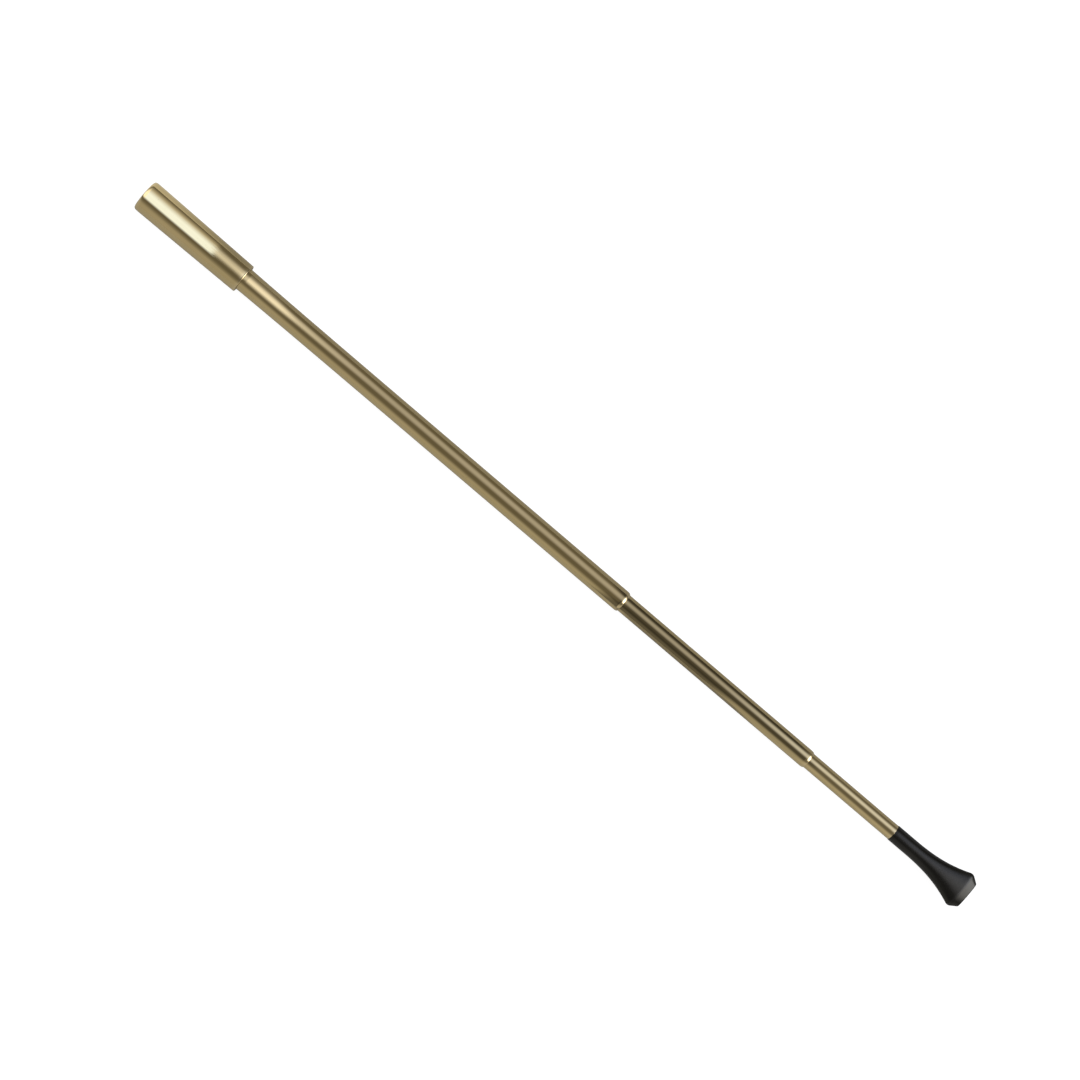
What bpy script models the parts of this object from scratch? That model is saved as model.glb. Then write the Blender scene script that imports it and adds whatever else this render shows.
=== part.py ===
"""Telescopic cigarette holder, drawn out to its full length.

The tubes share one axis, which lies along world X at the height of the socket's radius: the socket's
mouth faces -X and the mouthpiece's tip faces +X. Every piece is modelled with its own Z along that
axis, and hangs under an empty that turns Z onto world X.
"""

import math

import bmesh
import bpy

MM = 0.001

# Lengths that show, one after the other along the axis.
SOCKET_LENGTH = 36.4 * MM
OUTER_VISIBLE = 141.6 * MM
MIDDLE_VISIBLE = 70.0 * MM
INNER_VISIBLE = 32.4 * MM
MOUTHPIECE_LENGTH = 28.4 * MM

# Cigarette socket: a sleeve that tapers a little more and more towards the tubes. Its rim is turned in
# to grip the paper.
SOCKET_RADIUS = 4.90 * MM
SOCKET_END_RADIUS = 4.49 * MM
SOCKET_TAPER_POWER = 1.1
SOCKET_TAPER_STEPS = 8
SOCKET_WALL = 0.42 * MM
SOCKET_GRIP_RADIUS = 4.02 * MM
SOCKET_RIM_RUN = 1.0 * MM
SOCKET_RIM_DROP = 0.55 * MM
SOCKET_GRIP_LENGTH = 0.9 * MM
SOCKET_GRIP_RAMP = 0.7 * MM
SOCKET_END_ROUND = 0.30 * MM

# Reducing bush between the socket and the outer tube.
BUSH_LENGTH = 9.0 * MM
BUSH_SEAT_LENGTH = 7.0 * MM
BUSH_RECESS = 0.15 * MM
SMOKE_HOLE_RADIUS = 2.2 * MM

# Tubes: outer radius and wall.
OUTER_RADIUS, OUTER_WALL = 3.27 * MM, 0.30 * MM
MIDDLE_RADIUS, MIDDLE_WALL = 2.80 * MM, 0.22 * MM
INNER_RADIUS, INNER_WALL = 2.44 * MM, 0.30 * MM

# The outer tube swells a little at its root, where it goes into the bush.
ROOT_SWELL = 0.24 * MM
SWELL_REACH = 17.0 * MM
SWELL_SPAN = 60.0 * MM
SWELL_STEPS = 12

# A tube's mouth is swaged in, which leaves a rounded lip outside and a guide land inside.
LIP_LENGTH = 1.1 * MM
LIP_RAMP = 0.4 * MM
LIP_EDGE = 0.06 * MM

# Stop plug in a sliding tube's inner end: stub, flange, groove for the friction sleeve, flange.
STUB_LENGTH = 4.0 * MM
STUB_EDGE = 0.15 * MM
FLANGE_LENGTH = 0.8 * MM
GROOVE_LENGTH = 5.0 * MM
MIDDLE_GROOVE_RADIUS = 2.35 * MM
INNER_GROOVE_RADIUS = 1.90 * MM
MIDDLE_AIRWAY_RADIUS = 1.3 * MM
INNER_AIRWAY_RADIUS = 1.0 * MM
STOP_DEPTH = 1.6 * MM
SLEEVE_SLIT = 0.6 * MM

# Radial gaps, then gaps along the axis.
FIXED_GAP = 0.03 * MM
SLIDE_GAP = 0.04 * MM
GRIP_GAP = 0.02 * MM
SWIVEL_GAP = 0.05 * MM
END_GAP = 0.05 * MM
SLEEVE_END_GAP = 0.1 * MM

# Mouthpiece: round neck, flare to a wide flat ridge, chamfer to the tip.
NECK_RADIUS = 2.56 * MM
NECK_EDGE = 0.2 * MM
TENON_LENGTH = 8.0 * MM
TENON_AIRWAY_RADIUS = 1.1 * MM
FLARE_START = 6.4 * MM
FLARE_POWER = 2.4
FLATTEN_START = 8.2 * MM
RIDGE_AT = 25.7 * MM
RIDGE_HALF_WIDTH = 5.98 * MM
CHAMFER_SLOPE = 0.675
FACE_RIDGE_AT = 25.9 * MM
RIDGE_HALF_THICKNESS = 1.8 * MM
FACE_POWER = 1.8
FACE_CHAMFER_SLOPE = 0.32
EDGE_BLEND, FACE_BLEND = 0.9 * MM, 0.08 * MM
RIDGE_REACH = 1.2 * MM
TIP_ROUND = 0.25 * MM
ROUND_EXPONENT, FLAT_EXPONENT = 2.0, 2.25
SLOT_HALF_WIDTH = 1.7 * MM
SLOT_HALF_HEIGHT = 0.45 * MM
SLOT_DEPTH = 9.0 * MM

STEPS = 48
ARC_STEPS = 5
SHARP_ANGLE = math.radians(30.0)

# Stations along the axis, measured from the middle of the whole holder.
TOTAL_LENGTH = SOCKET_LENGTH + OUTER_VISIBLE + MIDDLE_VISIBLE + INNER_VISIBLE + MOUTHPIECE_LENGTH
SOCKET_MOUTH = -TOTAL_LENGTH / 2
SOCKET_END = SOCKET_MOUTH + SOCKET_LENGTH
OUTER_MOUTH = SOCKET_END + OUTER_VISIBLE
AXIS_HEIGHT = SOCKET_RADIUS

BRASS = ((0.60, 0.47, 0.25), 0.22, 1.0)
BARE_BRASS = ((0.66, 0.50, 0.22), 0.35, 1.0)
SPRING_BRONZE = ((0.62, 0.38, 0.20), 0.38, 1.0)
BLACK_PLASTIC = ((0.012, 0.012, 0.013), 0.33, 0.0)


def clear_scene():
    for obj in list(bpy.data.objects):
        bpy.data.objects.remove(obj, do_unlink=True)


def new_collection(name, is_hidden=False):
    collection = bpy.data.collections.new(name)
    collection.hide_render = is_hidden
    bpy.context.scene.collection.children.link(collection)
    return collection


def new_material(name, look):
    colour, roughness, metallic = look
    material = bpy.data.materials.new(name)
    material.use_nodes = True
    shader = material.node_tree.nodes["Principled BSDF"]
    shader.inputs["Base Color"].default_value = (*colour, 1.0)
    shader.inputs["Roughness"].default_value = roughness
    shader.inputs["Metallic"].default_value = metallic
    return material


def new_empty(name, parent, station):
    """An empty on the tubes' axis, at a distance along it from its parent."""
    empty = bpy.data.objects.new(name, None)
    empty.empty_display_size = 5 * MM
    empty.parent = parent
    empty.location = (0, 0, station)
    holder.objects.link(empty)
    return empty


def new_piece(name, mesh, parent, station, look):
    """A named piece with its own material, at a distance along the axis from its parent."""
    piece = bpy.data.objects.new(name, mesh)
    piece.parent = parent
    piece.location = (0, 0, station)
    mesh.materials.append(new_material(name, look))
    holder.objects.link(piece)
    return piece


def settle(piece):
    """Keeps what the modifiers make as plain mesh, smooth except at its corners."""
    graph = bpy.context.evaluated_depsgraph_get()
    mesh = bpy.data.meshes.new_from_object(piece.evaluated_get(graph), depsgraph=graph)
    piece.modifiers.clear()
    piece.data = mesh
    mesh.name = piece.name
    mesh.shade_smooth()
    mesh.set_sharp_from_angle(angle=SHARP_ANGLE)
    return piece


def add_screw(piece):
    screw = piece.modifiers.new("turn", "SCREW")
    screw.axis = "Z"
    screw.angle = math.tau
    screw.steps = STEPS
    screw.render_steps = STEPS
    screw.use_merge_vertices = True
    screw.merge_threshold = 0.00001


def turned(name, outline, parent, station, look):
    """A ring turned from a closed outline of (radius, along): down its outer side, then up its bore."""
    mesh = bpy.data.meshes.new(name)
    count = len(outline)
    points = [(radius, 0.0, along) for radius, along in outline]
    mesh.from_pydata(points, [(i, (i + 1) % count) for i in range(count)], [])
    piece = new_piece(name, mesh, parent, station, look)
    add_screw(piece)
    return settle(piece)


def quarter_turn(top_radius, top_along, side_radius, side_along):
    """Points of a quarter ellipse that leaves a flat end and meets a straight side below it."""
    points = []
    for i in range(ARC_STEPS + 1):
        angle = math.pi / 2 * i / ARC_STEPS
        radius = top_radius + (side_radius - top_radius) * math.sin(angle)
        along = side_along + (top_along - side_along) * math.cos(angle)
        points.append((radius, along))
    return points


def cut_away(piece, cutter):
    """Takes a cutter's shape out of a piece."""
    cutter.parent = piece.parent
    cutter.display_type = "WIRE"
    cutter.hide_render = True
    cutters.objects.link(cutter)
    cut = piece.modifiers.new("cut", "BOOLEAN")
    cut.operation = "DIFFERENCE"
    cut.solver = "EXACT"
    cut.object = cutter


def block_cutter(name, size, centre):
    form = bmesh.new()
    bmesh.ops.create_cube(form, size=1.0)
    bmesh.ops.scale(form, vec=size, verts=form.verts)
    bmesh.ops.translate(form, vec=centre, verts=form.verts)
    mesh = bpy.data.meshes.new(name)
    form.to_mesh(mesh)
    form.free()
    return bpy.data.objects.new(name, mesh)


def hole_cutter(name, half_height, half_width, start, end):
    """A straight round or oval hole along the axis, between two distances along it."""
    form = bmesh.new()
    bmesh.ops.create_cone(form, cap_ends=True, segments=STEPS // 2, radius1=1, radius2=1, depth=1)
    bmesh.ops.scale(form, vec=(half_height, half_width, end - start), verts=form.verts)
    bmesh.ops.translate(form, vec=(0, 0, (start + end) / 2), verts=form.verts)
    mesh = bpy.data.meshes.new(name)
    form.to_mesh(mesh)
    form.free()
    return bpy.data.objects.new(name, mesh)


def socket_radius(depth):
    """The socket's outer radius at a depth from its mouth, behind the rounded rim."""
    run = (depth - SOCKET_RIM_RUN) / (SOCKET_LENGTH - SOCKET_RIM_RUN)
    return SOCKET_RADIUS - (SOCKET_RADIUS - SOCKET_END_RADIUS) * run**SOCKET_TAPER_POWER


def socket_bore_radius(depth):
    """The wall is even, so the bore follows the outside."""
    return socket_radius(depth) - SOCKET_WALL


def spread(start, end, steps):
    return [start + (end - start) * i / steps for i in range(steps + 1)]


def cigarette_socket():
    """Its own Z starts at the mouth and runs into the socket."""
    end_start = SOCKET_LENGTH - SOCKET_END_ROUND
    end = quarter_turn(
        SOCKET_END_RADIUS - SOCKET_END_ROUND, SOCKET_LENGTH, socket_radius(end_start), end_start
    )
    outside = spread(end_start, SOCKET_RIM_RUN, SOCKET_TAPER_STEPS)[1:-1]
    rim = quarter_turn(SOCKET_RADIUS - SOCKET_RIM_DROP, 0.0, SOCKET_RADIUS, SOCKET_RIM_RUN)
    bore = spread(SOCKET_GRIP_LENGTH + SOCKET_GRIP_RAMP, SOCKET_LENGTH, SOCKET_TAPER_STEPS)
    outline = end + [(socket_radius(depth), depth) for depth in outside] + rim[::-1]
    outline += [(SOCKET_GRIP_RADIUS, 0.0), (SOCKET_GRIP_RADIUS, SOCKET_GRIP_LENGTH)]
    outline += [(socket_bore_radius(depth), depth) for depth in bore]
    return turned("cigarette_socket", outline, root, SOCKET_MOUTH, BRASS)


def reducing_bush():
    """Its own Z starts at the face that stops the cigarette."""
    front = SOCKET_LENGTH - BUSH_RECESS - BUSH_LENGTH
    seat_bottom = BUSH_LENGTH - BUSH_SEAT_LENGTH
    seat_radius = OUTER_RADIUS + ROOT_SWELL + FIXED_GAP
    outline = [
        (socket_bore_radius(front + BUSH_LENGTH) - FIXED_GAP, BUSH_LENGTH),
        (socket_bore_radius(front) - FIXED_GAP, 0.0),
        (SMOKE_HOLE_RADIUS, 0.0),
        (SMOKE_HOLE_RADIUS, seat_bottom),
        (seat_radius, seat_bottom),
        (seat_radius, BUSH_LENGTH),
    ]
    return turned("reducing_bush", outline, root, SOCKET_MOUTH + front, BARE_BRASS)


def swaged_tube(name, radius, wall, guided_radius, side, parent, station):
    """A tube whose mouth, at its own Z 0, is swaged in around the thinner tube that it guides.

    The side is the rest of its outside, from behind the lip to the tube's far end.
    """
    bore = radius - wall
    guide = guided_radius + SLIDE_GAP
    outline = quarter_turn(guide + LIP_EDGE, 0.0, radius, -LIP_LENGTH) + side
    outline += [
        (bore, side[-1][1]),
        (bore, -LIP_LENGTH - LIP_RAMP),
        (guide, -LIP_LENGTH),
        (guide, 0.0),
    ]
    return turned(name, outline, parent, station, BRASS)


def outer_tube():
    """Its side swells towards the socket, then runs straight into the bush."""
    seated = BUSH_RECESS + BUSH_SEAT_LENGTH - END_GAP
    side = [
        (OUTER_RADIUS + ROOT_SWELL * math.exp(-distance / SWELL_REACH), distance - OUTER_VISIBLE)
        for distance in spread(SWELL_SPAN, 0.0, SWELL_STEPS)
    ]
    side.append((OUTER_RADIUS + ROOT_SWELL, -OUTER_VISIBLE - seated))
    swaged_tube("outer_tube", OUTER_RADIUS, OUTER_WALL, MIDDLE_RADIUS, side, root, OUTER_MOUTH)


def middle_tube(parent):
    side = [(MIDDLE_RADIUS, -MIDDLE_VISIBLE - STOP_DEPTH + END_GAP)]
    swaged_tube(
        "middle_tube", MIDDLE_RADIUS, MIDDLE_WALL, INNER_RADIUS, side, parent, MIDDLE_VISIBLE
    )


def inner_tube(parent):
    """A plain tube from the stop plug's flange to the mouthpiece's shoulder."""
    top = INNER_VISIBLE - END_GAP
    bottom = -STOP_DEPTH + END_GAP
    bore = INNER_RADIUS - INNER_WALL
    outline = [(INNER_RADIUS, top), (INNER_RADIUS, bottom), (bore, bottom), (bore, top)]
    turned("inner_tube", outline, parent, 0.0, BRASS)


def stop_plug(name, tube_bore, flange_radius, groove_radius, airway, parent):
    """Its own Z starts where the tube's end meets its flange; the stub stands above that."""
    stub = tube_bore - FIXED_GAP
    groove_top = -FLANGE_LENGTH
    groove_bottom = groove_top - GROOVE_LENGTH
    bottom = groove_bottom - FLANGE_LENGTH
    outline = [
        (stub - STUB_EDGE, STUB_LENGTH),
        (stub, STUB_LENGTH - STUB_EDGE),
        (stub, 0.0),
        (flange_radius, 0.0),
        (flange_radius, groove_top),
        (groove_radius, groove_top),
        (groove_radius, groove_bottom),
        (flange_radius, groove_bottom),
        (flange_radius, bottom),
        (airway, bottom),
        (airway, STUB_LENGTH),
    ]
    turned(name, outline, parent, -STOP_DEPTH, BARE_BRASS)


def friction_sleeve(name, bore_around, groove_radius, parent):
    """A split spring sleeve that fills the plug's groove. Its slit faces away from the floor."""
    top = -FLANGE_LENGTH - SLEEVE_END_GAP
    bottom = -FLANGE_LENGTH - GROOVE_LENGTH + SLEEVE_END_GAP
    outside = bore_around - GRIP_GAP
    inside = groove_radius + SWIVEL_GAP
    outline = [(outside, top), (outside, bottom), (inside, bottom), (inside, top)]
    sleeve = turned(name, outline, parent, -STOP_DEPTH, SPRING_BRONZE)
    size = (2 * outside, SLEEVE_SLIT, 2 * GROOVE_LENGTH)
    centre = (-outside, 0, -STOP_DEPTH + (top + bottom) / 2)
    cut_away(sleeve, block_cutter(name + "_slit", size, centre))
    return settle(sleeve)


def smooth_step(value, start, end):
    t = min(max((value - start) / (end - start), 0.0), 1.0)
    return t * t * (3 - 2 * t)


def smooth_min(a, b, blend):
    """The lesser of two values, with the corner between them rounded."""
    h = min(max(0.5 + 0.5 * (b - a) / blend, 0.0), 1.0)
    return b + (a - b) * h - blend * h * (1 - h)


def half_width(x):
    """The mouthpiece's half width at a distance from its start: neck, widening flare, chamfer."""
    run = max(x - FLARE_START, 0.0) / (RIDGE_AT - FLARE_START)
    flank = NECK_RADIUS + (RIDGE_HALF_WIDTH - NECK_RADIUS) * run**FLARE_POWER
    chamfer = RIDGE_HALF_WIDTH - CHAMFER_SLOPE * (x - RIDGE_AT)
    return smooth_min(flank, chamfer, EDGE_BLEND)


def half_thickness(x):
    """The mouthpiece's half thickness: it thins to a ridge, then more steeply to the tip."""
    thinning = (NECK_RADIUS - RIDGE_HALF_THICKNESS) * (max(x, 0.0) / FACE_RIDGE_AT) ** FACE_POWER
    chamfer = RIDGE_HALF_THICKNESS - FACE_CHAMFER_SLOPE * (x - FACE_RIDGE_AT)
    return smooth_min(NECK_RADIUS - thinning, chamfer, FACE_BLEND)


def mouthpiece_section(x, inset=0.0):
    """One ring of the mouthpiece: a circle at the neck that becomes a rounded rectangle."""
    width = half_width(x) - inset
    thickness = half_thickness(x) - inset
    flatness = smooth_step(x, FLATTEN_START, RIDGE_AT)
    power = 2 / (ROUND_EXPONENT + (FLAT_EXPONENT - ROUND_EXPONENT) * flatness)
    ring = []
    for i in range(STEPS):
        angle = math.tau * i / STEPS
        c, s = math.cos(angle), math.sin(angle)
        ring.append(
            (
                thickness * math.copysign(abs(c) ** power, c),
                width * math.copysign(abs(s) ** power, s),
                x,
            )
        )
    return ring


def round_section(radius, x):
    angles = [math.tau * i / STEPS for i in range(STEPS)]
    return [(radius * math.cos(a), radius * math.sin(a), x) for a in angles]


def lofted(name, sections):
    """A closed skin through rings of equal count, with a flat cap at each end."""
    form = bmesh.new()
    rings = [[form.verts.new(point) for point in ring] for ring in sections]
    for low, high in zip(rings, rings[1:]):
        for i in range(STEPS):
            j = (i + 1) % STEPS
            form.faces.new((low[i], low[j], high[j], high[i]))
    form.faces.new(rings[0][::-1])
    form.faces.new(rings[-1])
    bmesh.ops.recalc_face_normals(form, faces=form.faces)
    mesh = bpy.data.meshes.new(name)
    form.to_mesh(mesh)
    form.free()
    return mesh


def mouthpiece(parent):
    """Its own Z starts at the shoulder that meets the inner tube; the tenon stands below that."""
    tenon = INNER_RADIUS - INNER_WALL - FIXED_GAP
    sections = [
        round_section(tenon - STUB_EDGE, -TENON_LENGTH),
        round_section(tenon, -TENON_LENGTH + STUB_EDGE),
        round_section(tenon, 0.0),
        round_section(NECK_RADIUS - NECK_EDGE, 0.0),
    ]
    body_end = MOUTHPIECE_LENGTH - TIP_ROUND
    stations = spread(NECK_EDGE, RIDGE_AT - RIDGE_REACH, 14)
    stations += spread(RIDGE_AT - RIDGE_REACH, body_end, 9)[1:]
    sections += [mouthpiece_section(x) for x in stations]
    for i in range(1, ARC_STEPS):
        angle = math.pi / 2 * i / (ARC_STEPS - 1)
        inset = TIP_ROUND * (1 - math.cos(angle))
        sections.append(mouthpiece_section(body_end + TIP_ROUND * math.sin(angle), inset))
    piece = new_piece(
        "mouthpiece", lofted("mouthpiece", sections), parent, INNER_VISIBLE, BLACK_PLASTIC
    )
    tip = INNER_VISIBLE + MOUTHPIECE_LENGTH
    slot_start = tip - SLOT_DEPTH
    past = 1.0 * MM
    bore = hole_cutter(
        "mouthpiece_airway",
        TENON_AIRWAY_RADIUS,
        TENON_AIRWAY_RADIUS,
        INNER_VISIBLE - TENON_LENGTH - past,
        slot_start + past,
    )
    slot = hole_cutter(
        "mouthpiece_slot", SLOT_HALF_HEIGHT, SLOT_HALF_WIDTH, slot_start, tip + past
    )
    cut_away(piece, bore)
    cut_away(piece, slot)
    return settle(piece)


def middle_section():
    """The middle tube and its plug turn inside the sleeve, and the sleeve slides in the outer tube."""
    slide = new_empty("middle_slide", root, OUTER_MOUTH)
    swivel = new_empty("middle_swivel", slide, 0.0)
    bore_around = OUTER_RADIUS - OUTER_WALL
    middle_tube(swivel)
    stop_plug(
        "middle_stop_plug",
        MIDDLE_RADIUS - MIDDLE_WALL,
        bore_around - SLIDE_GAP,
        MIDDLE_GROOVE_RADIUS,
        MIDDLE_AIRWAY_RADIUS,
        swivel,
    )
    friction_sleeve("middle_friction_sleeve", bore_around, MIDDLE_GROOVE_RADIUS, slide)
    return swivel


def inner_section(carrier):
    """The inner tube, its plug and the mouthpiece turn inside a sleeve in the middle tube."""
    slide = new_empty("inner_slide", carrier, MIDDLE_VISIBLE)
    swivel = new_empty("inner_swivel", slide, 0.0)
    bore_around = MIDDLE_RADIUS - MIDDLE_WALL
    inner_tube(swivel)
    stop_plug(
        "inner_stop_plug",
        INNER_RADIUS - INNER_WALL,
        bore_around - SLIDE_GAP,
        INNER_GROOVE_RADIUS,
        INNER_AIRWAY_RADIUS,
        swivel,
    )
    friction_sleeve("inner_friction_sleeve", bore_around, INNER_GROOVE_RADIUS, slide)
    mouthpiece(swivel)


clear_scene()
holder = new_collection("telescopic_cigarette_holder")
cutters = new_collection("cutters", is_hidden=True)
root = bpy.data.objects.new("tube_axis", None)
root.location = (0, 0, AXIS_HEIGHT)
root.rotation_euler = (0, math.pi / 2, 0)
holder.objects.link(root)
bpy.context.view_layer.update()

cigarette_socket()
reducing_bush()
outer_tube()
inner_section(middle_section())
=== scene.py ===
"""Looks of the telescopic cigarette holder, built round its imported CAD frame.

The tubes share one axis, which lies along world X. Each CAD node is replaced by a finer piece in its own
place and size, with softened edges and a procedural material, and rides on the node's body. Lengths are
in metres, "station" is a place along the axis, and "roll" is an angle round it from straight up.
"""

import math
from collections import namedtuple

import bmesh
import bpy
from mathutils import Matrix, Vector


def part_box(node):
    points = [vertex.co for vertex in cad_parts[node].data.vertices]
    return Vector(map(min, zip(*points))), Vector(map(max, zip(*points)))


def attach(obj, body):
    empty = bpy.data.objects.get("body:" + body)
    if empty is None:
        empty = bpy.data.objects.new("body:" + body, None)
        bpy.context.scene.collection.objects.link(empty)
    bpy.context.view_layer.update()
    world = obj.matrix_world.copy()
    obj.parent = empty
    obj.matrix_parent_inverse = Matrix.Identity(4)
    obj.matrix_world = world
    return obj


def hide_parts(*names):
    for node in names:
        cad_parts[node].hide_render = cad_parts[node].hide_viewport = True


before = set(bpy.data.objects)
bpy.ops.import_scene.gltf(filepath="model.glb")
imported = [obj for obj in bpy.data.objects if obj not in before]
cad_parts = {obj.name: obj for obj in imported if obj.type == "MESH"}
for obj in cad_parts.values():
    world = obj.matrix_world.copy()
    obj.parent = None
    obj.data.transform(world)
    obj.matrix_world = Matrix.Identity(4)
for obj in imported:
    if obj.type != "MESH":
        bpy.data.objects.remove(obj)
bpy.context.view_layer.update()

MM = 0.001


def ends(node):
    """Where a CAD node starts and ends along the axis."""
    low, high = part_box(node)
    return low.x, high.x


def node_radius(node):
    low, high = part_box(node)
    return (high.y - low.y) / 2


# Places along the axis, and radii, read from the frame.
SOCKET_MOUTH, SOCKET_END = ends("cigarette_socket")
BUSH_START, BUSH_END = ends("reducing_bush")
OUTER_START, OUTER_MOUTH = ends("outer_tube")
MIDDLE_START, MIDDLE_MOUTH = ends("middle_tube")
INNER_START, INNER_END = ends("inner_tube")
TENON_START, TIP = ends("mouthpiece")
AXIS_HEIGHT = (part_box("outer_tube")[0].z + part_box("outer_tube")[1].z) / 2
SOCKET_RADIUS = node_radius("cigarette_socket")
MIDDLE_RADIUS = node_radius("middle_tube")
INNER_RADIUS = node_radius("inner_tube")

# Sizes that a box doesn't tell, the same as the CAD's.
SOCKET_END_RADIUS = 4.49 * MM
SOCKET_TAPER_POWER = 1.1
SOCKET_WALL = 0.42 * MM
SOCKET_GRIP_RADIUS = 4.02 * MM
SOCKET_GRIP_LENGTH = 0.9 * MM
SOCKET_GRIP_RAMP = 0.7 * MM
SOCKET_RIM_RUN = 1.0 * MM
SOCKET_RIM_DROP = 0.55 * MM
SOCKET_END_ROUND = 0.30 * MM
BUSH_SEAT_LENGTH = 7.0 * MM
SMOKE_HOLE_RADIUS = 2.2 * MM
OUTER_RADIUS = 3.27 * MM
OUTER_WALL = 0.30 * MM
ROOT_SWELL = 0.24 * MM
SWELL_REACH = 17.0 * MM
SWELL_SPAN = 60.0 * MM
MIDDLE_WALL = 0.22 * MM
INNER_WALL = 0.30 * MM
LIP_LENGTH = 1.1 * MM
LIP_RAMP = 0.4 * MM
LIP_EDGE = 0.06 * MM
STUB_LENGTH = 4.0 * MM
FLANGE_LENGTH = 0.8 * MM
GROOVE_LENGTH = 5.0 * MM
MIDDLE_GROOVE_RADIUS = 2.35 * MM
INNER_GROOVE_RADIUS = 1.90 * MM
MIDDLE_AIRWAY_RADIUS = 1.3 * MM
INNER_AIRWAY_RADIUS = 1.0 * MM
SLEEVE_SLIT = 0.6 * MM
MIDDLE_BORE = MIDDLE_RADIUS - MIDDLE_WALL
INNER_BORE = INNER_RADIUS - INNER_WALL

# Gaps between pieces that are joined, that slide in one another, and that turn on one another.
FIXED_GAP = 0.03 * MM
SLIDE_GAP = 0.04 * MM
SWIVEL_GAP = 0.05 * MM

# Mouthpiece, measured from its shoulder: round neck, flare to a wide flat ridge, chamfer to the tip.
TENON_LENGTH = 8.0 * MM
SHOULDER = TENON_START + TENON_LENGTH
MOUTHPIECE_LENGTH = TIP - SHOULDER
NECK_RADIUS = 2.56 * MM
NECK_EDGE = 0.2 * MM
TENON_EDGE = 0.15 * MM
TENON_AIRWAY_RADIUS = 1.1 * MM
FLARE_START = 6.4 * MM
FLARE_POWER = 2.4
FLATTEN_START = 8.2 * MM
RIDGE_AT = 25.7 * MM
RIDGE_HALF_WIDTH = 5.98 * MM
CHAMFER_SLOPE = 0.675
FACE_RIDGE_AT = 25.9 * MM
RIDGE_HALF_THICKNESS = 1.8 * MM
FACE_POWER = 1.8
FACE_CHAMFER_SLOPE = 0.32
EDGE_BLEND, FACE_BLEND = 0.9 * MM, 0.08 * MM
TIP_ROUND = 0.25 * MM
ROUND_EXPONENT, FLAT_EXPONENT = 2.0, 2.25
SLOT_HALF_WIDTH = 1.7 * MM
SLOT_HALF_HEIGHT = 0.45 * MM
SLOT_DEPTH = 9.0 * MM
SLOT_EDGE = 0.1 * MM
FUNNEL_LENGTH = 1.5 * MM

# Fineness of the meshes.
SEGMENTS = 144
ROUND_STEPS = 6
LIP_STEPS = 10
TAPER_STEPS = 24
SWELL_STEPS = 40
LONGEST_RUN = 4.0 * MM
SHARP_ANGLE = math.radians(35)

# Roundings of corners. A point pins each straight beside a rounded corner, at this multiple of the
# rounding, and another lies this far behind a lip, so that the shading of the curve doesn't spread.
WIDE_ROUND = 0.3 * MM
MEDIUM_ROUND = 0.2 * MM
FLANGE_ROUND = 0.15 * MM
RAMP_ROUND = 0.1 * MM
FINE_ROUND = 0.04 * MM
PIN_REACH = 1.6
LIP_PIN = LIP_LENGTH / 4

# The mouthpiece's rings lie closest round its ridge: where that stretch starts and ends, and how many
# steps there are along the neck, the flare, the ridge and the chamfer.
FIRST_RING = 1.0 * MM
RIDGE_ZONE = (RIDGE_AT - 1.2 * MM, RIDGE_AT + 1.0 * MM)
NECK_STEPS, FLARE_STEPS, RIDGE_STEPS, CHAMFER_STEPS = 8, 28, 30, 8
SHOULDER_ROOT = 0.02 * MM

# Camera: a 100 mm lens on a 36 mm sensor, nearly straight above and leaning back towards the socket.
CAMERA_LENS, CAMERA_SENSOR = 100, 36
CAMERA_DISTANCE = 0.855
CAMERA_LEAN = math.radians(3.75)
CAMERA_TARGET = Vector((-0.00625, -0.00185, 0.0049))
TUBE_ON_IMAGE = Vector((0.76119, -0.64853))
CLIP_START, CLIP_END = 0.01, 20.0

# Floor and backdrop, both near white to the camera.
FLOOR_SIZE = 6.0
FLOOR_ALBEDO = 0.22
FLOOR_GLOW = 0.92
BACKDROP = (1.0, 1.0, 1.0)

# The floor's glow in reflections, at the ends of this range of Y: painted light, brighter on the -Y side.
GLOSS_GLOW_ACROSS = (-20 * MM, 20 * MM)
GLOSS_GLOW = (0.20, 0.09)
GLOSS_GLOW_TINT = (1.0, 0.98, 0.88, 1.0)
# Painted shade, standing in for a dark card, takes a share of it beside the middle tube, on the -Y side.
# A painted pool of light adds to it beside the socket, on the +Y side, and fades out along it.
# Each side gives way to the other across this range of Y.
SIDE_CHANGE = (-2 * MM, 2 * MM)
PAINTED_SHADE_ALONG = (27 * MM, 74 * MM)
PAINTED_SHADE_SOFTNESS = 10 * MM
PAINTED_SHADE_DEPTH = 0.85
PAINTED_LIGHT_ALONG = (-160 * MM, -126.5 * MM)
PAINTED_LIGHT_GLOW = 0.36

# Studio light. Each softbox spans a range of roll and a range of lean, which is the angle from the tubes'
# cross-section towards the mouthpiece, both in degrees, with how softly each range begins and ends.
Softbox = namedtuple("Softbox", "roll roll_soft lean lean_soft colour level")
AMBIENT = (0.082, 0.079, 0.070)
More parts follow.
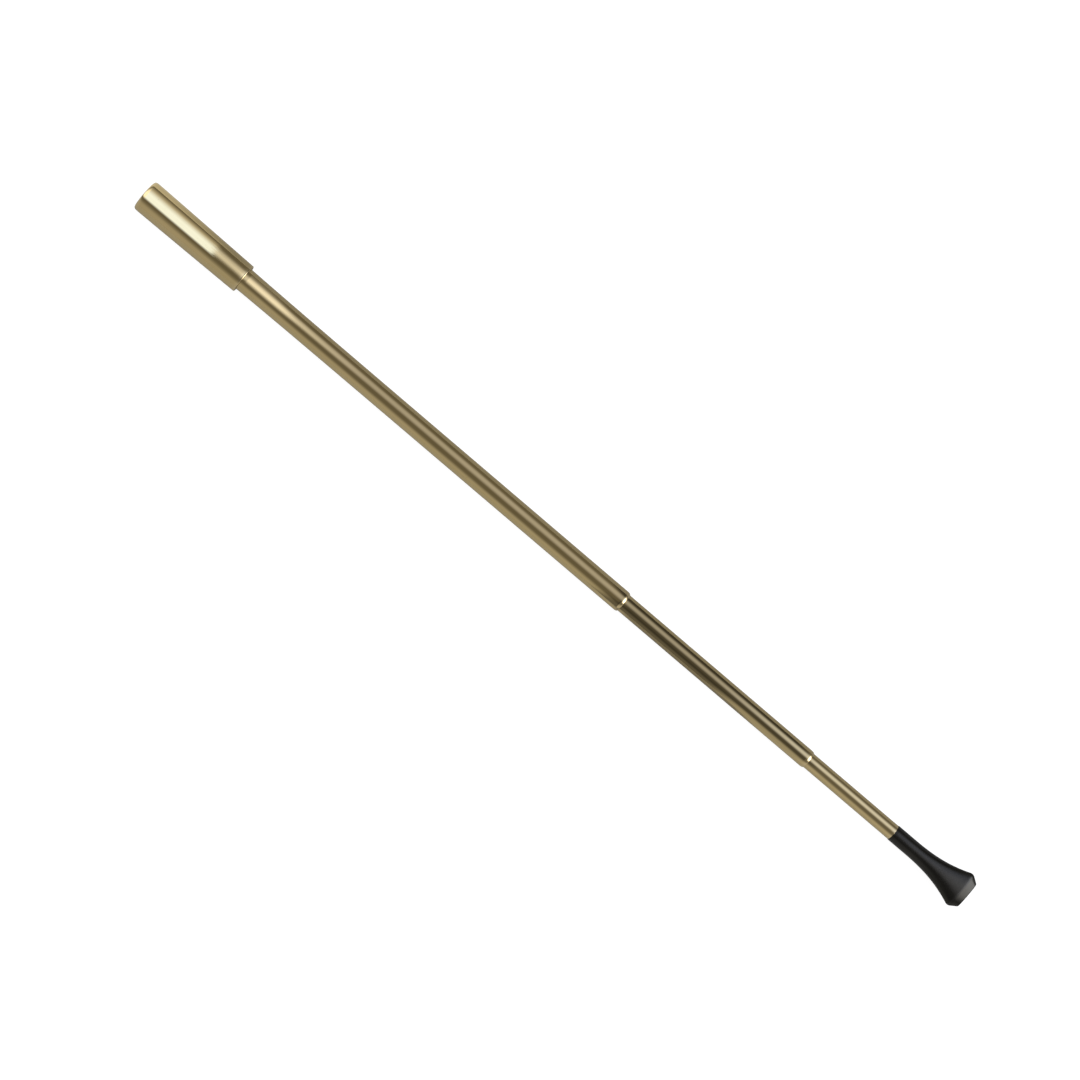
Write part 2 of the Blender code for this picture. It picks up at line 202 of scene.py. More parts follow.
# The softboxes' ends sweep back by this on their way down to the horizon, in degrees, so that the tapered
# socket shows the bank's edge square to its axis.
END_SWEEP = 1.41
ALL_ROUND = (-200, 200)
SOFTBOXES = (
    # The room behind the outer tube, and the room past the mouthpiece, a little lighter than between.
    Softbox(ALL_ROUND, (1, 1), (-120, 5.75), (1, 0.4), (1.00, 0.90, 0.68), 0.075),
    Softbox(ALL_ROUND, (1, 1), (10.5, 120), (0.4, 1), (1.00, 0.95, 0.85), 0.08),
    # A long strip overhead, a little to the +Y side, with a brighter end above the mouthpiece.
    Softbox((6, 49), (34, 36), (-3.09, 120), (0.1, 1), (1.00, 1.04, 1.26), 0.352),
    Softbox((11, 52), (30, 32), (9.3, 60), (3.0, 20), (0.85, 1.00, 1.36), 0.33),
    # The main bank above the socket, bluer next to its crisp edge, and its soft spill.
    Softbox((-3, 36), (36, 52), (-3.09, -1.45), (0.1, 2.0), (1.00, 1.05, 1.20), 0.38),
    Softbox((-10, 56), (36, 90), (-2.32, -2.02), (0.25, 0.25), (1.00, 1.05, 1.25), 0.39),
    Softbox((-16, 42), (19, 44), (-9, -3.09), (3, 0.1), (1.00, 1.43, 2.40), 0.60),
    Softbox((-16, 50), (19, 48), (-80, -9), (20, 3), (1.00, 1.00, 1.00), 0.80),
    Softbox((-16, 68), (19, 42), (-80, -3.09), (20, 0.1), (1.00, 1.00, 1.00), 0.47),
    # Fill from the -Y side, a little stronger past the middle tube.
    Softbox((-120, -48), (20, 38), (-120, 120), (1, 1), (1.00, 0.98, 0.92), 0.27),
    Softbox((-120, -42), (20, 30), (8.7, 120), (0.6, 1), (1.00, 0.98, 0.92), 0.045),
    # Key light in front of the mouthpiece, and the dimmer reflector below it.
    Softbox((-10, 54), (40, 30), (42, 66), (8, 8), (1.00, 0.98, 0.94), 3.4),
    Softbox((-6, 58), (30, 36), (19.8, 42), (8, 8), (1.00, 1.00, 1.04), 2.3),
)
# Dark cards beside the middle tube, one on each side. Their level is the share of the light they take.
CARDS = (
    Softbox((-130, -30), (30, 30), (5.55, 8.55), (0.5, 0.9), (1, 1, 1), 0.62),
    Softbox((52, 130), (20, 30), (5.80, 10.40), (0.3, 0.4), (1, 1, 1), 0.30),
)


def smooth_step(value, start, end):
    t = min(max((value - start) / (end - start), 0.0), 1.0)
    return t * t * (3 - 2 * t)


def smooth_min(a, b, blend):
    """The lesser of two values, with the corner between them rounded."""
    h = min(max(0.5 + 0.5 * (b - a) / blend, 0.0), 1.0)
    return b + (a - b) * h - blend * h * (1 - h)


# ---------------------------------------------------------------- outlines of the turned pieces


def softened(corners):
    """Points of a closed outline, from its corners given as (station, radius, rounding).

    Each rounding is a curve between two points that lie that far from the corner.
    """
    points = []
    count = len(corners)
    for i, (station, radius, rounding) in enumerate(corners):
        corner = Vector((station, radius))
        if rounding == 0:
            points.append(corner)
            continue
        before = (Vector(corners[i - 1][:2]) - corner).normalized() * rounding
        after = (Vector(corners[(i + 1) % count][:2]) - corner).normalized() * rounding
        points.append(corner + before * PIN_REACH)
        for step in range(ROUND_STEPS + 1):
            t = step / ROUND_STEPS
            points.append(corner + before * (1 - t) ** 2 + after * t**2)
        points.append(corner + after * PIN_REACH)
    return points


def with_short_runs(points):
    """The same closed outline with points added, so that no run along the axis is long."""
    result = []
    for start, end in zip(points, points[1:] + points[:1]):
        pieces = max(1, math.ceil((end - start).length / LONGEST_RUN))
        result += [start.lerp(end, i / pieces) for i in range(pieces)]
    return result


def quarter_turn(start, end, steps, is_round_first):
    """Points of a quarter ellipse between two points.

    It leaves the first point square to the axis if that is the round end, and along the axis if not.
    """
    points = []
    for i in range(steps + 1):
        angle = math.pi / 2 * i / steps
        along, across = 1 - math.cos(angle), math.sin(angle)
        if not is_round_first:
            along, across = across, along
        points.append(
            Vector((start.x + (end.x - start.x) * along, start.y + (end.y - start.y) * across))
        )
    return points


def socket_radius(depth):
    """The socket's outer radius at a depth from its mouth, behind the rounded rim."""
    run = (depth - SOCKET_RIM_RUN) / (SOCKET_END - SOCKET_MOUTH - SOCKET_RIM_RUN)
    return SOCKET_RADIUS - (SOCKET_RADIUS - SOCKET_END_RADIUS) * run**SOCKET_TAPER_POWER


def socket_bore_radius(depth):
    """The wall is even, so the bore follows the outside."""
    return socket_radius(depth) - SOCKET_WALL


def spaced(start, end, steps):
    return [start + (end - start) * i / steps for i in range(steps + 1)]


def socket_outline():
    """From the mouth's flat, over the rolled rim, along the outside, and back through the bore."""
    length = SOCKET_END - SOCKET_MOUTH
    ramp_end = SOCKET_GRIP_LENGTH + SOCKET_GRIP_RAMP
    rim = quarter_turn(
        Vector((SOCKET_MOUTH, SOCKET_RADIUS - SOCKET_RIM_DROP)),
        Vector((SOCKET_MOUTH + SOCKET_RIM_RUN, SOCKET_RADIUS)),
        LIP_STEPS,
        True,
    )
    outside = spaced(SOCKET_RIM_RUN, length, TAPER_STEPS)[1:-1]
    bore = spaced(length, ramp_end, TAPER_STEPS)[1:-1]
    rest = [(SOCKET_MOUTH + depth, socket_radius(depth), 0) for depth in outside]
    rest += [
        (SOCKET_END, SOCKET_END_RADIUS, SOCKET_END_ROUND),
        (SOCKET_END, socket_bore_radius(length), FINE_ROUND),
    ]
    rest += [(SOCKET_MOUTH + depth, socket_bore_radius(depth), 0) for depth in bore]
    rest += [
        (SOCKET_MOUTH + ramp_end, socket_bore_radius(ramp_end), WIDE_ROUND),
        (SOCKET_MOUTH + SOCKET_GRIP_LENGTH, SOCKET_GRIP_RADIUS, MEDIUM_ROUND),
        (SOCKET_MOUTH, SOCKET_GRIP_RADIUS, 0),
    ]
    grip_edge = Vector((SOCKET_MOUTH + FINE_ROUND, SOCKET_GRIP_RADIUS))
    mouth_edge = Vector((SOCKET_MOUTH, SOCKET_GRIP_RADIUS + FINE_ROUND))
    return rim + softened(rest)[:-1] + quarter_turn(grip_edge, mouth_edge, ROUND_STEPS, False)


def bush_outline():
    depth = BUSH_START - SOCKET_MOUTH
    length = BUSH_END - BUSH_START
    seat_start = BUSH_END - BUSH_SEAT_LENGTH
    seat_radius = OUTER_RADIUS + ROOT_SWELL + FIXED_GAP
    return softened(
        [
            (BUSH_START, SMOKE_HOLE_RADIUS, WIDE_ROUND),
            (BUSH_START, socket_bore_radius(depth) - FIXED_GAP, MEDIUM_ROUND),
            (BUSH_END, socket_bore_radius(depth + length) - FIXED_GAP, FINE_ROUND),
            (BUSH_END, seat_radius, FINE_ROUND),
            (seat_start, seat_radius, 0),
            (seat_start, SMOKE_HOLE_RADIUS, FINE_ROUND),
        ]
    )


def swaged_tube_outline(mouth, radius, wall, guided_radius, side):
    """A tube whose mouth is swaged in around the thinner tube that it guides.

    The side is the rest of its outside, from the tube's far end to behind the lip.
    """
    start = side[0][0]
    bore = radius - wall
    guide = guided_radius + SLIDE_GAP
    lip_start = mouth - LIP_LENGTH
    lip = quarter_turn(
        Vector((lip_start, radius)), Vector((mouth, guide + LIP_EDGE)), LIP_STEPS, False
    )
    inside = [
        (mouth, guide, LIP_EDGE / 2),
        (lip_start, guide, 0),
        (lip_start - LIP_RAMP, bore, RAMP_ROUND),
        (start, bore, FINE_ROUND),
    ]
    return lip + softened(inside + side + [(lip_start - LIP_PIN, radius, 0)])


def outer_side():
    """The outer tube's side runs straight out of the bush, then loses its swell."""
    root_radius = OUTER_RADIUS + ROOT_SWELL
    side = [(OUTER_START, root_radius, FINE_ROUND), (SOCKET_END - FINE_ROUND, root_radius, 0)]
    for distance in spaced(0.0, SWELL_SPAN, SWELL_STEPS):
        swell = ROOT_SWELL * math.exp(-distance / SWELL_REACH)
        side.append((SOCKET_END + distance, OUTER_RADIUS + swell, 0))
    return side


def inner_tube_outline():
    return softened(
        [
            (INNER_START, INNER_RADIUS, FINE_ROUND),
            (INNER_END, INNER_RADIUS, FINE_ROUND),
            (INNER_END, INNER_BORE, FINE_ROUND),
            (INNER_START, INNER_BORE, FINE_ROUND),
        ]
    )


def stop_plug_outline(node, tube_bore, groove_radius, airway):
    """Stub in the tube's end, flange, groove for the friction sleeve, flange."""
    start, end = ends(node)
    flange_radius = node_radius(node)
    stub = tube_bore - FIXED_GAP
    shoulder = end - STUB_LENGTH
    groove_end = shoulder - FLANGE_LENGTH
    groove_start = groove_end - GROOVE_LENGTH
    return softened(
        [
            (end, stub, MEDIUM_ROUND),
            (shoulder, stub, 0),
            (shoulder, flange_radius, FINE_ROUND),
            (groove_end, flange_radius, FINE_ROUND),
            (groove_end, groove_radius, 0),
            (groove_start, groove_radius, 0),
            (groove_start, flange_radius, FINE_ROUND),
            (start, flange_radius, FLANGE_ROUND),
            (start, airway, MEDIUM_ROUND),
            (end, airway, FINE_ROUND),
        ]
    )


def sleeve_outline(node, groove_radius):
    start, end = ends(node)
    outside = node_radius(node)
    inside = groove_radius + SWIVEL_GAP
    return softened(
        [
            (start, outside, 2 * FINE_ROUND),
            (end, outside, 2 * FINE_ROUND),
            (end, inside, FINE_ROUND),
            (start, inside, FINE_ROUND),
        ]
    )


# ---------------------------------------------------------------- meshes


def on_axis(station, height, across):
    """A point given from the tubes' axis, as a point in the frame."""
    return Vector((station, across, AXIS_HEIGHT + height))


def finished(name, form, edges):
    """A smooth piece from a bmesh, whose points know how far they are from the piece's worn edges."""
    bmesh.ops.recalc_face_normals(form, faces=form.faces)
    mesh = bpy.data.meshes.new(name)
    form.to_mesh(mesh)
    form.free()
    mesh.shade_smooth()
    mesh.set_sharp_from_angle(angle=SHARP_ANGLE)
    distance = mesh.attributes.new("edge_distance", "FLOAT", "POINT")
    nearest = [min(abs(vertex.co.x - edge) for edge in edges) for vertex in mesh.vertices]
    distance.data.foreach_set("value", nearest)
    piece = bpy.data.objects.new(name, mesh)
    bpy.context.scene.collection.objects.link(piece)
    return piece


def turned(name, outline, edges, slit=0.0):
    """A piece turned round the axis from a closed outline; a slit leaves a gap of that width on top."""
    outline = with_short_runs(outline)
    form = bmesh.new()
    half_gap = math.asin(slit / 2 / max(point.y for point in outline))
    rings = []
    ring_count = SEGMENTS + 1 if slit else SEGMENTS
    for i in range(ring_count):
        roll = half_gap + (math.tau - 2 * half_gap) * i / SEGMENTS
        c, s = math.cos(roll), math.sin(roll)
        rings.append([form.verts.new(on_axis(p.x, p.y * c, p.y * s)) for p in outline])
    pairs = list(zip(rings, rings[1:]))
    if slit:
        form.faces.new(rings[0])
        form.faces.new(rings[-1])
    else:
        pairs.append((rings[-1], rings[0]))
    count = len(outline)
    for left, right in pairs:
        for i in range(count):
            j = (i + 1) % count
            form.faces.new((left[i], left[j], right[j], right[i]))
    return finished(name, form, edges)


def half_width(x):
    """The mouthpiece's half width at a distance from its shoulder: neck, widening flare, chamfer."""
    run = max(x - FLARE_START, 0.0) / (RIDGE_AT - FLARE_START)
    flank = NECK_RADIUS + (RIDGE_HALF_WIDTH - NECK_RADIUS) * run**FLARE_POWER
    chamfer = RIDGE_HALF_WIDTH - CHAMFER_SLOPE * (x - RIDGE_AT)
    return smooth_min(flank, chamfer, EDGE_BLEND)


def half_thickness(x):
    """The mouthpiece's half thickness: it thins to a ridge, then more steeply to the tip."""
    thinning = (NECK_RADIUS - RIDGE_HALF_THICKNESS) * (max(x, 0.0) / FACE_RIDGE_AT) ** FACE_POWER
    chamfer = RIDGE_HALF_THICKNESS - FACE_CHAMFER_SLOPE * (x - FACE_RIDGE_AT)
    return smooth_min(NECK_RADIUS - thinning, chamfer, FACE_BLEND)


def oval_ring(x, half_height, half_width_here, exponent=2.0):
    """One ring of the mouthpiece at a distance from its shoulder; above 2, the exponent squares it off."""
    power = 2 / exponent
    ring = []
    for i in range(SEGMENTS):
        roll = math.tau * i / SEGMENTS
        c, s = math.cos(roll), math.sin(roll)
        height = half_height * math.copysign(abs(c) ** power, c)
        across = half_width_here * math.copysign(abs(s) ** power, s)
        ring.append(on_axis(SHOULDER + x, height, across))
    return ring


def body_ring(x, inset=0.0):
    """One ring of the mouthpiece's outside, drawn in by the inset and squarer near the ridge."""
    flatness = smooth_step(x, FLATTEN_START, RIDGE_AT)
    exponent = ROUND_EXPONENT + (FLAT_EXPONENT - ROUND_EXPONENT) * flatness
    return oval_ring(x, half_thickness(x) - inset, half_width(x) - inset, exponent)


def mouthpiece_rings():
    """Rings from the tenon over the body to the tip, then back through the slot and the airway."""
    tenon = INNER_BORE - FIXED_GAP
    rings = [
        oval_ring(-TENON_LENGTH, tenon - TENON_EDGE, tenon - TENON_EDGE),
        oval_ring(-TENON_LENGTH + TENON_EDGE, tenon, tenon),
        oval_ring(-SHOULDER_ROOT, tenon, tenon),
        oval_ring(0.0, tenon + SHOULDER_ROOT, tenon + SHOULDER_ROOT),
    ]
    for i in range(ROUND_STEPS + 1):
        angle = math.pi / 2 * i / ROUND_STEPS
        inset = NECK_EDGE * (1 - math.sin(angle))
        rings.append(body_ring(NECK_EDGE * (1 - math.cos(angle)), inset))
    body_end = MOUTHPIECE_LENGTH - TIP_ROUND
    stations = spaced(FIRST_RING, FLARE_START, NECK_STEPS)
    stations += spaced(FLARE_START, RIDGE_ZONE[0], FLARE_STEPS)[1:]
    stations += spaced(*RIDGE_ZONE, RIDGE_STEPS)[1:]
    stations += spaced(RIDGE_ZONE[1], body_end, CHAMFER_STEPS)[1:]
    rings += [body_ring(x) for x in stations]
    for i in range(1, ROUND_STEPS + 1):
        angle = math.pi / 2 * i / ROUND_STEPS
        inset = TIP_ROUND * (1 - math.cos(angle))
        rings.append(body_ring(body_end + TIP_ROUND * math.sin(angle), inset))
    for i in range(ROUND_STEPS + 1):
        angle = math.pi / 2 * i / ROUND_STEPS
        x = MOUTHPIECE_LENGTH - SLOT_EDGE * (1 - math.cos(angle))
        widening = SLOT_EDGE * (1 - math.sin(angle))
        rings.append(oval_ring(x, SLOT_HALF_HEIGHT + widening, SLOT_HALF_WIDTH + widening))
    slot_end = MOUTHPIECE_LENGTH - SLOT_DEPTH
    rings.append(oval_ring(slot_end + FUNNEL_LENGTH, SLOT_HALF_HEIGHT, SLOT_HALF_WIDTH))
    rings.append(oval_ring(slot_end, TENON_AIRWAY_RADIUS, TENON_AIRWAY_RADIUS))
    rings.append(oval_ring(-TENON_LENGTH, TENON_AIRWAY_RADIUS, TENON_AIRWAY_RADIUS))
    return rings


def mouthpiece_body():
    """A closed skin through the rings: the last one joins the first across the tenon's end."""
    form = bmesh.new()
    rings = [[form.verts.new(point) for point in ring] for ring in mouthpiece_rings()]
    for low, high in zip(rings, rings[1:] + rings[:1]):
        for i in range(SEGMENTS):
            j = (i + 1) % SEGMENTS
            form.faces.new((low[i], low[j], high[j], high[i]))
    return finished("mouthpiece_body", form, (SHOULDER + RIDGE_AT, TIP))


# ---------------------------------------------------------------- materials


class Graph:
    """Short calls for building one node tree."""

    def __init__(self, owner):
        owner.use_nodes = True
        self.tree = owner.node_tree
        self.tree.nodes.clear()

    def add(self, kind, inputs=None, **settings):
        """A node of that kind, with its inputs set to values or linked to other nodes' outputs."""
        node = self.tree.nodes.new("ShaderNode" + kind)
        for name, value in settings.items():
            setattr(node, name, value)
        for key, value in (inputs or {}).items():
            if isinstance(value, bpy.types.NodeSocket):
                self.tree.links.new(value, node.inputs[key])
            else:
                node.inputs[key].default_value = value
        return node

    def math(self, operation, *values):
        node = self.add("Math", dict(enumerate(values)), operation=operation)
        return node.outputs[0]

    def remap(self, value, from_range, to_range=(0.0, 1.0), kind="SMOOTHSTEP"):
        inputs = {
            "Value": value,
            "From Min": from_range[0],
            "From Max": from_range[1],
            "To Min": to_range[0],
            "To Max": to_range[1],
        }
        return self.add("MapRange", inputs, interpolation_type=kind).outputs[0]

    def mix(self, factor, a, b):
        """A colour between two others. The node's sockets for colours come after those for other types."""
        return self.add("Mix", {0: factor, 6: a, 7: b}, data_type="RGBA").outputs[2]

    def position(self):
        """The shaded point in the piece's own coordinates."""
        return self.add("TexCoord").outputs["Object"]

    def noise(self, scale, detail=2.0, roughness=0.5, stretch=(1.0, 1.0, 1.0)):
        """Noise in the piece's own coordinates, with features of about 1 / scale metres."""
        mapped = self.add("Mapping", {"Vector": self.position(), "Scale": stretch}).outputs[0]
        inputs = {"Vector": mapped, "Scale": scale, "Detail": detail, "Roughness": roughness}
        return self.add("TexNoise", inputs).outputs[0]

    def edge(self, reach):
        """One at the piece's worn edges, falling to nought over a reach in metres."""
        distance = self.add("Attribute", attribute_name="edge_distance").outputs["Fac"]
        return self.remap(distance, (0.0, reach), (1.0, 0.0))

    def bump(self, height, distance, normal=None):
        inputs = {"Height": height, "Distance": distance, "Strength": 1.0}
        if normal is not None:
            inputs["Normal"] = normal
        return self.add("Bump", inputs).outputs[0]

    def surface(self, colour, roughness, normal, metallic, specular_tint=(1.0, 1.0, 1.0, 1.0)):
        inputs = {
            "Base Color": colour,
            "Roughness": roughness,
            "Normal": normal,
            "Metallic": metallic,
            "Specular Tint": specular_tint,
        }
        shader = self.add("BsdfPrincipled", inputs)
        self.add("OutputMaterial", {"Surface": shader.outputs[0]})


def rgb(red, green, blue):
    return (red, green, blue, 1.0)


def drawn_brass():
    """Polished brass tube under thin lacquer: lengthwise draw lines, faint tarnish, lips rubbed bright."""
    material = bpy.data.materials.new("drawn_brass")
    graph = Graph(material)
    draw_lines = graph.noise(1.0, 1.0, 0.5, (6, 1800, 1800))
    hairlines = graph.remap(graph.noise(1.0, 1.0, 0.5, (20, 3200, 3200)), (0.60, 0.78))
    tarnish = graph.remap(graph.noise(120, 4.0, 0.6, (0.5, 1, 1)), (0.35, 0.70))
    spots = graph.remap(graph.noise(900, 3.0, 0.6), (0.66, 0.80))
    grain = graph.noise(2600, 1.0, 0.5, (0.004, 1, 1))
    rubbed = graph.edge(1.4 * MM)
    colour = graph.mix(draw_lines, rgb(0.745, 0.595, 0.325), rgb(0.815, 0.645, 0.340))
    colour = graph.mix(graph.math("MULTIPLY", tarnish, 0.35), colour, rgb(0.68, 0.545, 0.27))
    colour = graph.mix(graph.math("MULTIPLY", spots, 0.30), colour, rgb(0.50, 0.36, 0.18))
    colour = graph.mix(graph.math("MULTIPLY", hairlines, 0.25), colour, rgb(0.86, 0.72, 0.46))
    colour = graph.mix(graph.math("MULTIPLY", rubbed, 0.60), colour, rgb(0.89, 0.74, 0.46))
    roughness = graph.remap(draw_lines, (0.25, 0.75), (0.012, 0.022))
    roughness = graph.math("ADD", roughness, graph.math("MULTIPLY", tarnish, 0.006))
    roughness = graph.math("ADD", roughness, graph.math("MULTIPLY", hairlines, 0.02))
    roughness = graph.math("ADD", roughness, graph.math("MULTIPLY", rubbed, 0.02))
    normal = graph.bump(draw_lines, 0.003 * MM)
    normal = graph.bump(grain, 0.0006 * MM, normal=normal)
    graph.surface(colour, roughness, normal, 1.0)
    return material


def turned_brass():
    """Bare brass straight from the lathe: fine rings round the axis, duller than the tubes."""
    material = bpy.data.materials.new("turned_brass")
    graph = Graph(material)
    rings = graph.noise(1.0, 3.0, 0.6, (14000, 250, 250))
    stain = graph.remap(graph.noise(500, 4.0, 0.6), (0.35, 0.75))
    edge = graph.edge(0.5 * MM)
    colour = graph.mix(rings, rgb(0.62, 0.46, 0.20), rgb(0.74, 0.57, 0.28))
    colour = graph.mix(graph.math("MULTIPLY", stain, 0.45), colour, rgb(0.48, 0.33, 0.15))
    colour = graph.mix(graph.math("MULTIPLY", edge, 0.50), colour, rgb(0.82, 0.65, 0.34))
    roughness = graph.remap(rings, (0.2, 0.8), (0.26, 0.40))
    normal = graph.bump(rings, 0.003 * MM)
    graph.surface(colour, roughness, normal, 1.0)
    return material


def rolled_bronze():
    """Spring strip: reddish, rolled grain along it, rubbed bright where it slides."""
    material = bpy.data.materials.new("rolled_bronze")
    graph = Graph(material)
    grain = graph.noise(1.0, 3.0, 0.6, (150, 3500, 3500))
    heat = graph.remap(graph.noise(400, 3.0, 0.5), (0.3, 0.8))
    edge = graph.edge(0.4 * MM)
    colour = graph.mix(grain, rgb(0.56, 0.33, 0.17), rgb(0.68, 0.43, 0.24))
    colour = graph.mix(graph.math("MULTIPLY", heat, 0.4), colour, rgb(0.42, 0.25, 0.16))
    colour = graph.mix(graph.math("MULTIPLY", edge, 0.5), colour, rgb(0.80, 0.56, 0.34))
    roughness = graph.remap(grain, (0.2, 0.8), (0.28, 0.42))
    normal = graph.bump(grain, 0.002 * MM)
    graph.surface(colour, roughness, normal, 1.0)
    return material


def moulded_plastic():
    """Black moulded plastic: faint orange peel, a parting line at mid height, edges rubbed glossy."""
    material = bpy.data.materials.new("moulded_plastic")
    graph = Graph(material)
    peel = graph.noise(1300, 3.0, 0.5)
    fine = graph.noise(9000, 2.0, 0.5)
    cloud = graph.noise(220, 3.0, 0.5)
    scuffs = graph.remap(graph.noise(1.0, 2.0, 0.5, (500, 2600, 2600)), (0.62, 0.74))
    rubbed = graph.edge(0.35 * MM)
    height = graph.add("SeparateXYZ", {"Vector": graph.position()}).outputs["Z"]
    off_line = graph.math("ABSOLUTE", graph.math("SUBTRACT", height, AXIS_HEIGHT))
    parting = graph.remap(off_line, (0.02 * MM, 0.07 * MM), (1.0, 0.0))
    colour = graph.mix(cloud, rgb(0.0026, 0.0025, 0.0022), rgb(0.0050, 0.0048, 0.0043))
    colour = graph.mix(graph.math("MULTIPLY", rubbed, 0.5), colour, rgb(0.017, 0.017, 0.017))
    colour = graph.mix(graph.math("MULTIPLY", parting, 0.5), colour, rgb(0.016, 0.016, 0.016))
    roughness = graph.remap(cloud, (0.3, 0.7), (0.18, 0.23))
    roughness = graph.math("ADD", roughness, graph.math("MULTIPLY", scuffs, 0.08))
    roughness = graph.math("SUBTRACT", roughness, graph.math("MULTIPLY", rubbed, 0.04))
    normal = graph.bump(peel, 0.004 * MM)
    normal = graph.bump(fine, 0.0008 * MM, normal=normal)
    normal = graph.bump(parting, 0.010 * MM, normal=normal)
    graph.surface(colour, roughness, normal, 0.0, rgb(1.0, 0.98, 0.92))
    return material


# ---------------------------------------------------------------- floor, light and camera


def span(graph, value, limits, softness):
    """One inside the limits and nought outside, with a soft start and a soft end."""
    low, high = limits
    start = (low - softness[0] / 2, low + softness[0] / 2)
    end = (high - softness[1] / 2, high + softness[1] / 2)
    rise = graph.remap(value, start)
    fall = graph.remap(value, end, (1.0, 0.0))
    return graph.math("MULTIPLY", rise, fall)


def floor_gloss(graph):
    """How strongly the floor glows in reflections, as painted light: more on the -Y side, less in the
    painted shade beside the middle tube, and more in the painted pool of light beside the socket.
    """
    along, across, _ = graph.add("SeparateXYZ", {"Vector": graph.position()}).outputs
    gloss = graph.remap(across, GLOSS_GLOW_ACROSS, GLOSS_GLOW)
    # Painted shade on the floor's glow beside the middle tube, on the -Y side, standing in for a dark
    # card.
    painted_shade_along = span(graph, along, PAINTED_SHADE_ALONG, (PAINTED_SHADE_SOFTNESS, PAINTED_SHADE_SOFTNESS))
    painted_shade_across = graph.remap(across, SIDE_CHANGE, (PAINTED_SHADE_DEPTH, 0.0))
    card = graph.math("MULTIPLY", painted_shade_along, painted_shade_across)
    gloss = graph.math("MULTIPLY", gloss, graph.math("SUBTRACT", 1.0, card))
    # Painted pool of light on the floor's glow beside the socket, on the +Y side.
    painted_light_along = graph.remap(along, PAINTED_LIGHT_ALONG, (PAINTED_LIGHT_GLOW, 0.0), "LINEAR")
    painted_light_across = graph.remap(across, SIDE_CHANGE)
    return graph.math("ADD", gloss, graph.math("MULTIPLY", painted_light_along, painted_light_across))


def floor():
    """A pale floor that looks white to the camera and stays dimmer in the metal's reflections."""
    form = bmesh.new()
    bmesh.ops.create_grid(form, x_segments=1, y_segments=1, size=FLOOR_SIZE / 2)
    mesh = bpy.data.meshes.new("floor")
    form.to_mesh(mesh)
    form.free()
    ground = bpy.data.objects.new("floor", mesh)
    bpy.context.scene.collection.objects.link(ground)
    material = bpy.data.materials.new("pale_floor")
    graph = Graph(material)
    is_camera = graph.add("LightPath").outputs["Is Camera Ray"]
    glow = graph.remap(is_camera, (0, 1), (floor_gloss(graph), FLOOR_GLOW), "LINEAR")
    tint = graph.mix(is_camera, GLOSS_GLOW_TINT, rgb(1, 1, 1))
    inputs = {"Color": rgb(FLOOR_ALBEDO, FLOOR_ALBEDO, FLOOR_ALBEDO)}
    matt = graph.add("BsdfDiffuse", inputs).outputs[0]
    shine = graph.add("Emission", {"Color": tint, "Strength": glow}).outputs[0]
    both = graph.add("AddShader", {0: matt, 1: shine}).outputs[0]
    graph.add("OutputMaterial", {"Surface": both})
    mesh.materials.append(material)


def studio():
    """The studio as a world: an even ambient light with softboxes in it, and a plain backdrop."""
    world = bpy.data.worlds.new("studio")
    bpy.context.scene.world = world
    graph = Graph(world)
    direction = graph.add("TexCoord").outputs["Generated"]
    x, y, z = graph.add("SeparateXYZ", {"Vector": direction}).outputs
    roll = graph.math("DEGREES", graph.math("ARCTAN2", y, z))
    lean = graph.math("DEGREES", graph.math("ARCSINE", x))
    half_roll = graph.math("RADIANS", graph.math("MULTIPLY", roll, 0.5))
    off_top = graph.math("SUBTRACT", 1.0, graph.math("COSINE", half_roll))
    lean = graph.math("ADD", lean, graph.math("MULTIPLY", off_top, END_SWEEP))

    def mask(box):
        across = span(graph, roll, box.roll, box.roll_soft)
        along = span(graph, lean, box.lean, box.lean_soft)
        return graph.math("MULTIPLY", across, along)

    def vector_math(operation, *inputs, **named):
        node = graph.add("VectorMath", dict(enumerate(inputs)) | named, operation=operation)
        return node.outputs[0]

    light = graph.add("CombineXYZ", dict(zip("XYZ", AMBIENT))).outputs[0]
    for box in SOFTBOXES:
        colour = [channel * box.level for channel in box.colour]
        light = vector_math("ADD", light, vector_math("SCALE", colour, Scale=mask(box)))
    for card in CARDS:
        shade = graph.math("SUBTRACT", 1.0, graph.math("MULTIPLY", mask(card), card.level))
        light = vector_math("SCALE", light, Scale=shade)
    is_camera = graph.add("LightPath").outputs["Is Camera Ray"]
    seen = graph.mix(is_camera, light, rgb(*BACKDROP))
    background = graph.add("Background", {"Color": seen, "Strength": 1.0}).outputs[0]
    graph.add("OutputWorld", {"Surface": background})


def camera():
    """Looks down on the holder, whose tubes run from the image's top left to its bottom right."""
    along = Vector((math.cos(CAMERA_LEAN), 0, math.sin(CAMERA_LEAN)))
    back = Vector((-math.sin(CAMERA_LEAN), 0, math.cos(CAMERA_LEAN)))
    across = back.cross(along)
    right = along * TUBE_ON_IMAGE.x - across * TUBE_ON_IMAGE.y
    up = along * TUBE_ON_IMAGE.y + across * TUBE_ON_IMAGE.x
    data = bpy.data.cameras.new("camera")
    data.lens = CAMERA_LENS
    data.sensor_width = CAMERA_SENSOR
    data.clip_start, data.clip_end = CLIP_START, CLIP_END
    eye = bpy.data.objects.new("camera", data)
    turn = Matrix((right, up, back)).transposed().to_4x4()
    eye.matrix_world = Matrix.Translation(CAMERA_TARGET + back * CAMERA_DISTANCE) @ turn
    bpy.context.scene.collection.objects.link(eye)
    bpy.context.scene.camera = eye


# ---------------------------------------------------------------- the holder

bpy.context.scene.view_settings.view_transform = "Standard"
bpy.context.scene.view_settings.look = "None"
camera()
studio()
floor()

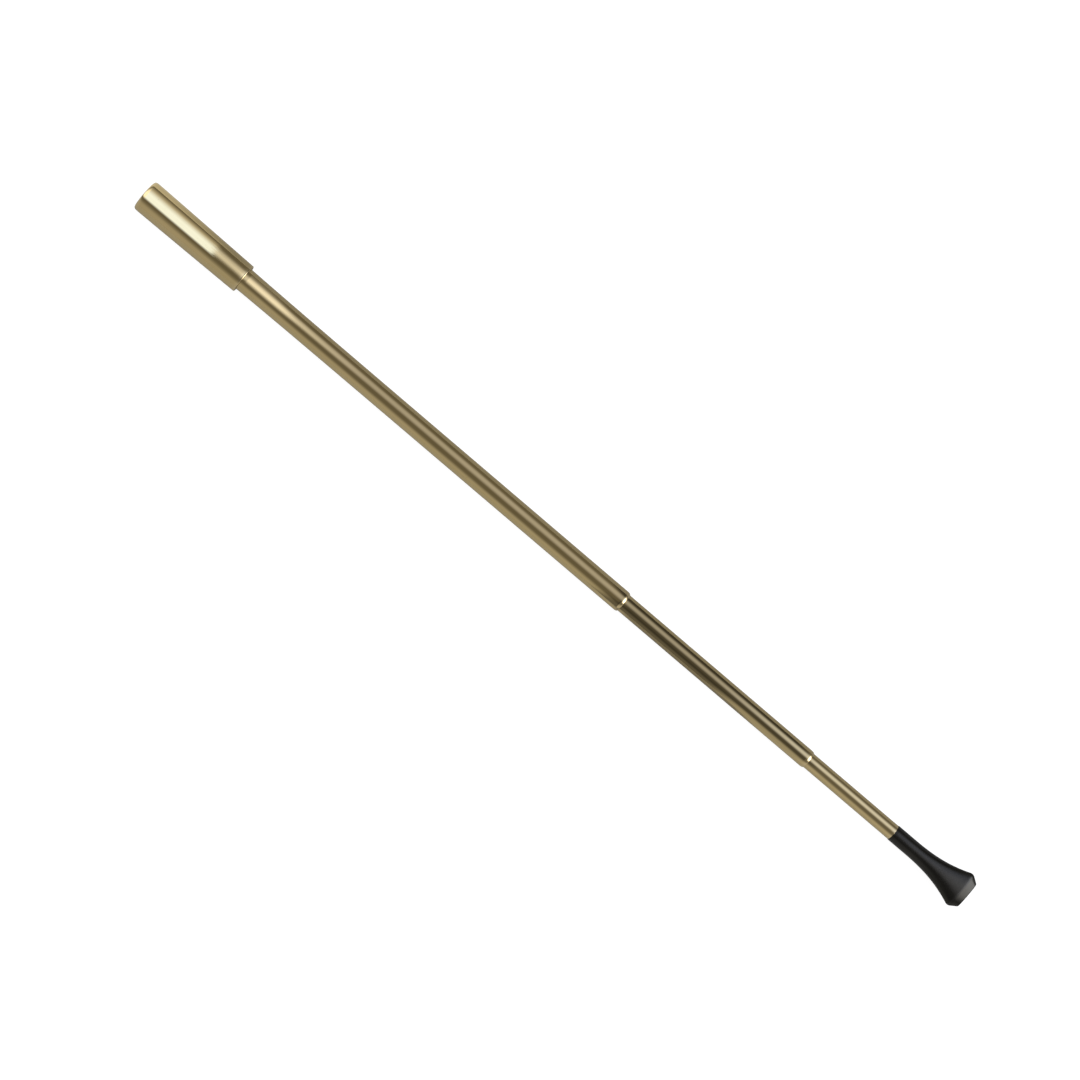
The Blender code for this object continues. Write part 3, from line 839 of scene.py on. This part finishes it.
BRASS, BARE_BRASS = drawn_brass(), turned_brass()
BRONZE, PLASTIC = rolled_bronze(), moulded_plastic()


def place(piece, node, body, material):
    """Puts a piece in its CAD node's stead."""
    piece.data.materials.append(material)
    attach(piece, body)
    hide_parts(node)


socket = turned("socket_shell", socket_outline(), (SOCKET_MOUTH, SOCKET_END))
place(socket, "cigarette_socket", "holder_body", BRASS)
bush = turned("bush_ring", bush_outline(), (BUSH_START, BUSH_END))
place(bush, "reducing_bush", "holder_body", BARE_BRASS)

outline = swaged_tube_outline(OUTER_MOUTH, OUTER_RADIUS, OUTER_WALL, MIDDLE_RADIUS, outer_side())
outer = turned("outer_tube_shell", outline, (OUTER_MOUTH,))
place(outer, "outer_tube", "holder_body", BRASS)
outline = swaged_tube_outline(
    MIDDLE_MOUTH, MIDDLE_RADIUS, MIDDLE_WALL, INNER_RADIUS, [(MIDDLE_START, MIDDLE_RADIUS, FINE_ROUND)]
)
middle = turned("middle_tube_shell", outline, (MIDDLE_MOUTH,))
place(middle, "middle_tube", "middle_section", BRASS)
inner = turned("inner_tube_shell", inner_tube_outline(), (INNER_END,))
place(inner, "inner_tube", "inner_section", BRASS)

for node, body, tube_bore, groove_radius, airway in (
    ("middle_stop_plug", "middle_section", MIDDLE_BORE, MIDDLE_GROOVE_RADIUS, MIDDLE_AIRWAY_RADIUS),
    ("inner_stop_plug", "inner_section", INNER_BORE, INNER_GROOVE_RADIUS, INNER_AIRWAY_RADIUS),
):
    outline = stop_plug_outline(node, tube_bore, groove_radius, airway)
    plug = turned(node + "_turned", outline, ends(node))
    place(plug, node, body, BARE_BRASS)

for node, body, groove_radius in (
    ("middle_friction_sleeve", "middle_sleeve", MIDDLE_GROOVE_RADIUS),
    ("inner_friction_sleeve", "inner_sleeve", INNER_GROOVE_RADIUS),
):
    sleeve = turned(node + "_strip", sleeve_outline(node, groove_radius), ends(node), SLEEVE_SLIT)
    place(sleeve, node, body, BRONZE)

place(mouthpiece_body(), "mouthpiece", "inner_section", PLASTIC)
